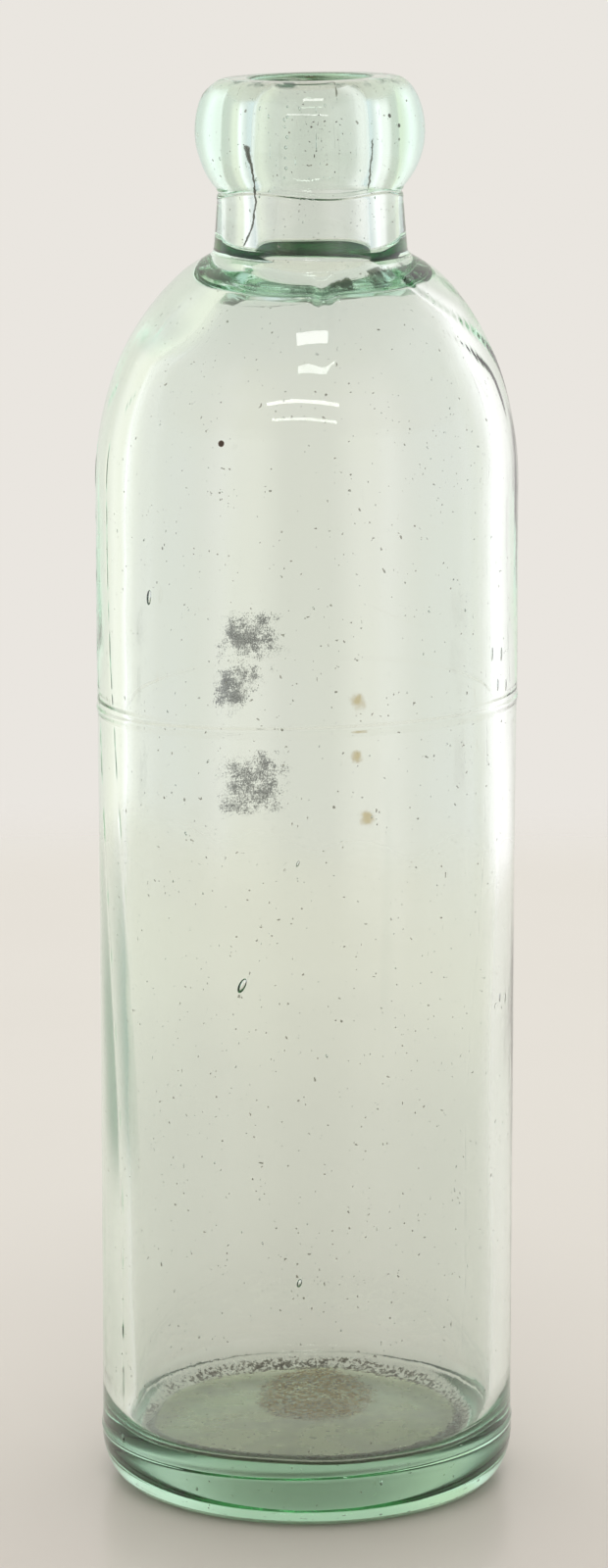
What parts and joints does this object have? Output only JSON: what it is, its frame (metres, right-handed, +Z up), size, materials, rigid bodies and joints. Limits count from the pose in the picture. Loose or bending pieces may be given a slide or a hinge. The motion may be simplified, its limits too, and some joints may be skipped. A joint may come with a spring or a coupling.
{
  "type": "blob top soda bottle",
  "caption": "Round glass soda bottle with a straight body, domed shoulder, short neck and a thick rounded lip, open at the mouth.",
  "frame": {"origin": "centre of the base, on the surface that the bottle stands on", "axes": "+Z up along the bottle's axis; X and Y are equal, because the bottle is round"},
  "size_m": [0.0582, 0.0582, 0.1959],
  "materials": {
    "body_glass": "clear pale aqua glass with bubbles and scuffs",
    "lip_glass": "clear aqua glass, deeper in colour where it is thick, smooth from the tool"
  },
  "bodies": {
    "root": {"bottle_body": "body_glass", "blob_lip": "lip_glass"}
  },
  "joints": []
}
